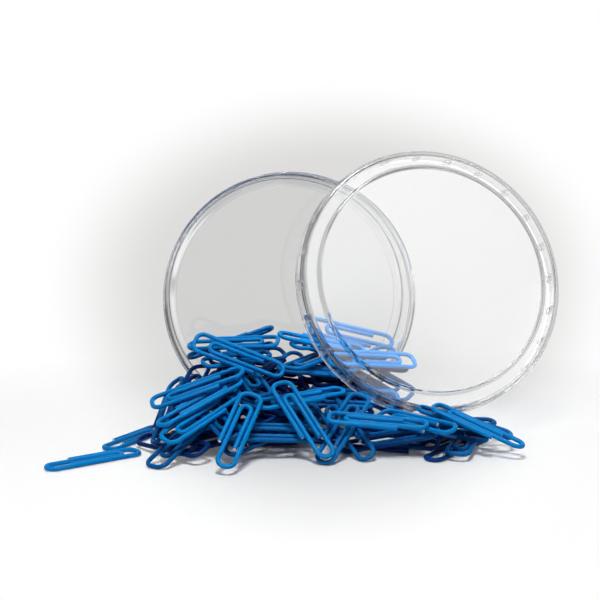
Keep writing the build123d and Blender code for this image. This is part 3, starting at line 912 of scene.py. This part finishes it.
# Paper that takes light and shadow
PAPER_TONES = ((0.79, 0.79, 0.79, 1), (0.83, 0.83, 0.825, 1))
FIBRE_SCALE = 900.0
WHITE_LIFT = 0.28  # brings lit paper to white outside the painted shade oval
PAPER_MIDDLE = (0.0, -0.05, 0.0)
PAPER_SIZE = (0.34, 0.22, 1.0)
PAPER_EDGE = 0.35


def sheet_profile():
    """Points (y, z) of the sheet from the front edge to the top."""
    points = [(-HALF_WIDTH, 0.0), (SWEEP_START, 0.0)]
    for step in range(1, SWEEP_STEPS + 1):
        bend = math.pi / 2 * step / SWEEP_STEPS
        points.append((SWEEP_START + SWEEP_RADIUS * math.sin(bend), SWEEP_RADIUS * (1 - math.cos(bend))))
    points.append((SWEEP_START + SWEEP_RADIUS, SWEEP_TOP))
    return points


profile = sheet_profile()
sheet_mesh = bpy.data.meshes.new("paper_sweep")
rows = [[(side * HALF_WIDTH, y, z - FLOOR_DROP) for side in (-1, 1)] for y, z in profile]
strips = [(2 * n, 2 * n + 1, 2 * n + 3, 2 * n + 2) for n in range(len(profile) - 1)]
sheet_mesh.from_pydata([corner for row in rows for corner in row], [], strips)
sheet_mesh.polygons.foreach_set("use_smooth", [True] * len(strips))
sweep = bpy.data.objects.new("paper_sweep", sheet_mesh)
bpy.context.scene.collection.objects.link(sweep)
print("sweep", len(strips), "strips")


# %% Pale paper
def vector_node(tree, operation, *values):
    """A Vector Math node on one or two vectors."""
    return put(tree, "ShaderNodeVectorMath", dict(enumerate(values)), operation=operation).outputs


def fade(tree, value, start, end):
    """1 before start, 0 after end, smooth between."""
    return put(tree, "ShaderNodeMapRange", {
        "Value": value, "From Min": start, "From Max": end, "To Min": 1.0, "To Max": 0.0},
        interpolation_type="SMOOTHSTEP").outputs[0]


def painted_shade_oval(tree, place):
    """1 in the middle of the painted shade, 0 outside its oval cone."""
    ray = vector_node(tree, "SUBTRACT", place, PAINTED_SHADE_POINT)[0]
    aside, ahead, rise = put(tree, "ShaderNodeSeparateXYZ", {0: ray}).outputs
    ahead = math_node(tree, "MAXIMUM", ahead, LEAST_AHEAD)
    across = math_node(tree, "SUBTRACT", math_node(tree, "DIVIDE", aside, ahead), PAINTED_SHADE_AIM[0])
    above = math_node(tree, "SUBTRACT", math_node(tree, "DIVIDE", rise, ahead), PAINTED_SHADE_AIM[1])
    slopes = put(tree, "ShaderNodeCombineXYZ", {
        0: math_node(tree, "DIVIDE", across, PAINTED_SHADE_WIDTH),
        1: math_node(tree, "DIVIDE", math_node(tree, "MAXIMUM", above, 0.0), PAINTED_SHADE_UP),
        2: math_node(tree, "DIVIDE", math_node(tree, "MINIMUM", above, 0.0), PAINTED_SHADE_DOWN)}).outputs[0]
    return fade(tree, vector_node(tree, "LENGTH", slopes)["Value"], *PAINTED_SHADE_EDGE)


def near(tree, place, middle, size, edge):
    """1 on the paper close to the middle, fading to 0 at size, from the share edge of it."""
    scaled = vector_node(tree, "DIVIDE", vector_node(tree, "SUBTRACT", place, middle)[0], size)[0]
    return fade(tree, vector_node(tree, "LENGTH", scaled)["Value"], edge, 1.0)


def straight(tree, path, share):
    """1 for what is seen directly, share for what shows through plastic unmirrored, 0 for the rest."""
    unmirrored = math_node(tree, "LESS_THAN", path["Glossy Depth"], 0.5)
    through = math_node(tree, "MULTIPLY", path["Is Transmission Ray"], unmirrored)
    return math_node(tree, "MAXIMUM", path["Is Camera Ray"], math_node(tree, "MULTIPLY", through, share))


def far_tone(tree, place, path, painted_shade):
    """Colour of the paper further out: the painted shade grey, and round it white or the grey of bent edges.
    """
    # painted highlight: the white patch that draws a glint in the dish's rim
    glint = near(tree, place, GLINT_MIDDLE, GLINT_SIZE, GLINT_EDGE)
    nearside = fade(tree, put(tree, "ShaderNodeSeparateXYZ", {0: place}).outputs["Y"], *GREY_FROM)
    share = math_node(tree, "MULTIPLY_ADD", nearside, 1.0 - THROUGH_SHARE, THROUGH_SHARE)
    white = math_node(tree, "MAXIMUM", straight(tree, path, share), glint)
    around = put(tree, "ShaderNodeMix", {0: white, 6: ROUND_GREY, 7: WHITE}, data_type="RGBA").outputs[2]
    return put(tree, "ShaderNodeMix", {0: painted_shade, 6: around, 7: PAINTED_SHADE_GREY}, data_type="RGBA").outputs[2]


def pale_paper():
    finish, tree = new_finish("pale_paper")
    place = put(tree, "ShaderNodeTexCoord").outputs["Object"]
    path = put(tree, "ShaderNodeLightPath").outputs
    seen = math_node(tree, "MAXIMUM", path["Is Camera Ray"], path["Is Glossy Ray"])
    seen = math_node(tree, "MAXIMUM", seen, path["Is Transmission Ray"])
    # painted shade: the grey oval on the paper behind the box
    painted_shade = painted_shade_oval(tree, place)
    fibre = put(tree, "ShaderNodeTexNoise", {"Vector": place, "Scale": FIBRE_SCALE, "Detail": 4.0}).outputs[0]
    tone = put(tree, "ShaderNodeMix", {0: fibre, 6: PAPER_TONES[0], 7: PAPER_TONES[1]}, data_type="RGBA")
    paper = put(tree, "ShaderNodeBsdfPrincipled", {
        "Base Color": tone.outputs[2], "Roughness": 0.6, "IOR": 1.4})
    bare = math_node(tree, "MULTIPLY", math_node(tree, "SUBTRACT", 1.0, painted_shade), seen)
    lift = put(tree, "ShaderNodeEmission", {"Strength": math_node(tree, "MULTIPLY", bare, WHITE_LIFT)})
    lit = put(tree, "ShaderNodeAddShader", {0: paper.outputs[0], 1: lift.outputs[0]})
    glow = put(tree, "ShaderNodeEmission", {"Color": far_tone(tree, place, path, painted_shade), "Strength": 1.0})
    far = math_node(tree, "SUBTRACT", 1.0, near(tree, place, PAPER_MIDDLE, PAPER_SIZE, PAPER_EDGE))
    mix = put(tree, "ShaderNodeMixShader", {
        0: math_node(tree, "MULTIPLY", far, seen), 1: lit.outputs[0], 2: glow.outputs[0]})
    put(tree, "ShaderNodeOutputMaterial", {"Surface": mix.outputs[0]})
    return finish


sheet_mesh.materials.append(pale_paper())
print("finish", sheet_mesh.materials[0].name)


# %% [markdown]
# ## Light
# A soft lamp overhead and a little in front is the key: it lights the heap and draws the lights along
# the top of the wires. A second, large one stands in front, to the right and above, and shows only in
# reflections. The lid's flat panel mirrors it towards the camera, which is the pale veil over what is
# seen through the lid. One corner of it is dimmer, where the panel covers the clips. In what the
# plastic mirrors and bends, the room is dim to the sides and lighter in front and behind, and the dim
# part draws grey lines in the bent edges of the clear walls. Seen directly, or straight through the
# plastic, it is white.

# %% Lamps
SOFT_EDGE = 0.15  # of the lamp's width
CORNER_EDGE = (0.3, 0.6)  # where the dim corner starts to fade and where it ends
LAMP_AIM = Vector((0, 0, 0.04))


def softbox(name, direction, distance, size, radiance, lowest=1.0, corner=0.0):
    """A square area lamp aimed at the object, with soft edges, a dimmer foot and a dimmer corner."""
    data = bpy.data.lights.new(name, "AREA")
    data.size = size
    data.energy = math.pi * size ** 2
    data.use_nodes = True
    cloth = data.node_tree
    cloth.nodes.clear()
    spot = put(cloth, "ShaderNodeNewGeometry").outputs["Parametric"]
    side, height, _ = put(cloth, "ShaderNodeSeparateXYZ", {0: spot}).outputs
    glow = put(cloth, "ShaderNodeMapRange", {
        "Value": height, "To Min": lowest * radiance, "To Max": radiance}).outputs[0]
    dim = math_node(cloth, "MULTIPLY", fade(cloth, side, *CORNER_EDGE), fade(cloth, height, *CORNER_EDGE))
    glow = math_node(cloth, "MULTIPLY", glow, math_node(cloth, "MULTIPLY_ADD", dim, -corner, 1.0))
    for edge in (side, height):
        from_middle = math_node(cloth, "ABSOLUTE", math_node(cloth, "SUBTRACT", edge, 0.5))
        from_edge = math_node(cloth, "SUBTRACT", 0.5, from_middle)
        soft = put(cloth, "ShaderNodeMapRange", {"Value": from_edge, "From Max": SOFT_EDGE},
                   interpolation_type="SMOOTHSTEP")
        glow = math_node(cloth, "MULTIPLY", glow, soft.outputs[0])
    emission = put(cloth, "ShaderNodeEmission", {"Strength": glow})
    put(cloth, "ShaderNodeOutputLight", {"Surface": emission.outputs[0]})
    lamp = bpy.data.objects.new(name, data)
    towards = Vector(direction).normalized()
    lamp.location = LAMP_AIM + towards * distance
    lamp.rotation_mode = "QUATERNION"
    lamp.rotation_quaternion = (-towards).to_track_quat("-Z", "Y")
    lamp.visible_camera = False
    bpy.context.scene.collection.objects.link(lamp)
    return lamp


front = softbox("front_softbox", (0.435, -0.729, 0.524), distance=0.93, size=0.50, radiance=3.95,
                lowest=0.7, corner=0.55)
front.visible_diffuse = False
softbox("top_softbox", (-0.10, -0.35, 1.0), distance=0.8, size=0.32, radiance=25.0)


# %% Room
ROOM_DIM = 0.12
ROOM_LIGHTER = 0.45  # added in front and behind
LIGHTER_FROM = (0.7, 0.95)
ROOM_AMBIENT = 0.05

world = bpy.data.worlds.new("studio")
bpy.context.scene.world = world
world.use_nodes = True
room = world.node_tree
room.nodes.clear()
direction = put(room, "ShaderNodeTexCoord").outputs["Generated"]
facing = put(room, "ShaderNodeSeparateXYZ", {0: direction}).outputs
ends = put(room, "ShaderNodeMapRange", {
    "Value": math_node(room, "ABSOLUTE", facing["Y"]),
    "From Min": LIGHTER_FROM[0], "From Max": LIGHTER_FROM[1]}, interpolation_type="SMOOTHSTEP").outputs[0]
walls = math_node(room, "MULTIPLY_ADD", ends, ROOM_LIGHTER, ROOM_DIM)
path = put(room, "ShaderNodeLightPath").outputs
mirrored = math_node(room, "MAXIMUM", path["Is Glossy Ray"], path["Is Transmission Ray"])
in_plastic = math_node(room, "MULTIPLY", walls, mirrored)
strength = math_node(room, "MAXIMUM", in_plastic, straight(room, path, 1.0))
strength = math_node(room, "MAXIMUM", strength, ROOM_AMBIENT)
glow = put(room, "ShaderNodeBackground", {"Color": WHITE, "Strength": strength})
put(room, "ShaderNodeOutputWorld", {"Surface": glow.outputs[0]})
print("room", len(room.nodes), "nodes")
